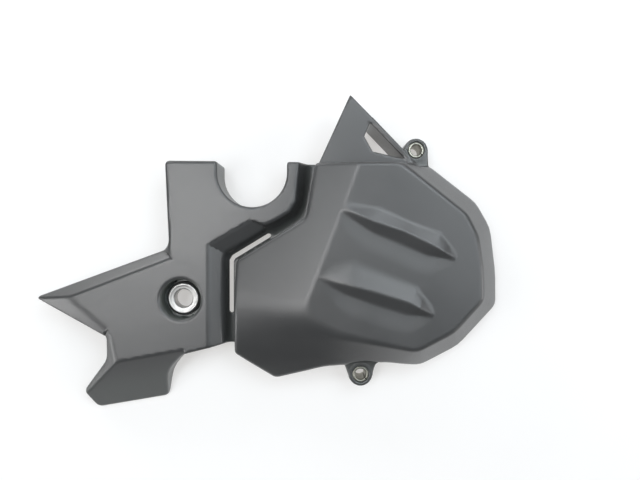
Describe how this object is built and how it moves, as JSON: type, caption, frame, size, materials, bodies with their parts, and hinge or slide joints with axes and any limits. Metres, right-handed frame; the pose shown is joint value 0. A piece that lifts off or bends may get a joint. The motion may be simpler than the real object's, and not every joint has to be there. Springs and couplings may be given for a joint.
{
  "type": "motorcycle sprocket cover",
  "caption": "Moulded front sprocket cover with a ribbed dome, a rear chain guard, a raised fin, eyelet bushes and a rubber-mounted collar.",
  "frame": {"origin": "axis of the lower eyelet bush on the rear plane, where the cover meets the engine", "axes": "+Z out of the outer face, +X from the rear guard toward the dome, +Y toward the fin and the upper eyelet"},
  "size_m": [0.2648, 0.1837, 0.045],
  "materials": {
    "cover_plastic": "fine matte grain, black",
    "grommet_rubber": "matte black",
    "collar_steel": "bright zinc plate",
    "bush_steel": "dull zinc plate"
  },
  "bodies": {
    "root": {"sprocket_cover": "cover_plastic", "rear_grommet": "grommet_rubber", "rear_collar": "collar_steel", "upper_eyelet_bush": "bush_steel", "lower_eyelet_bush": "bush_steel"}
  },
  "joints": []
}
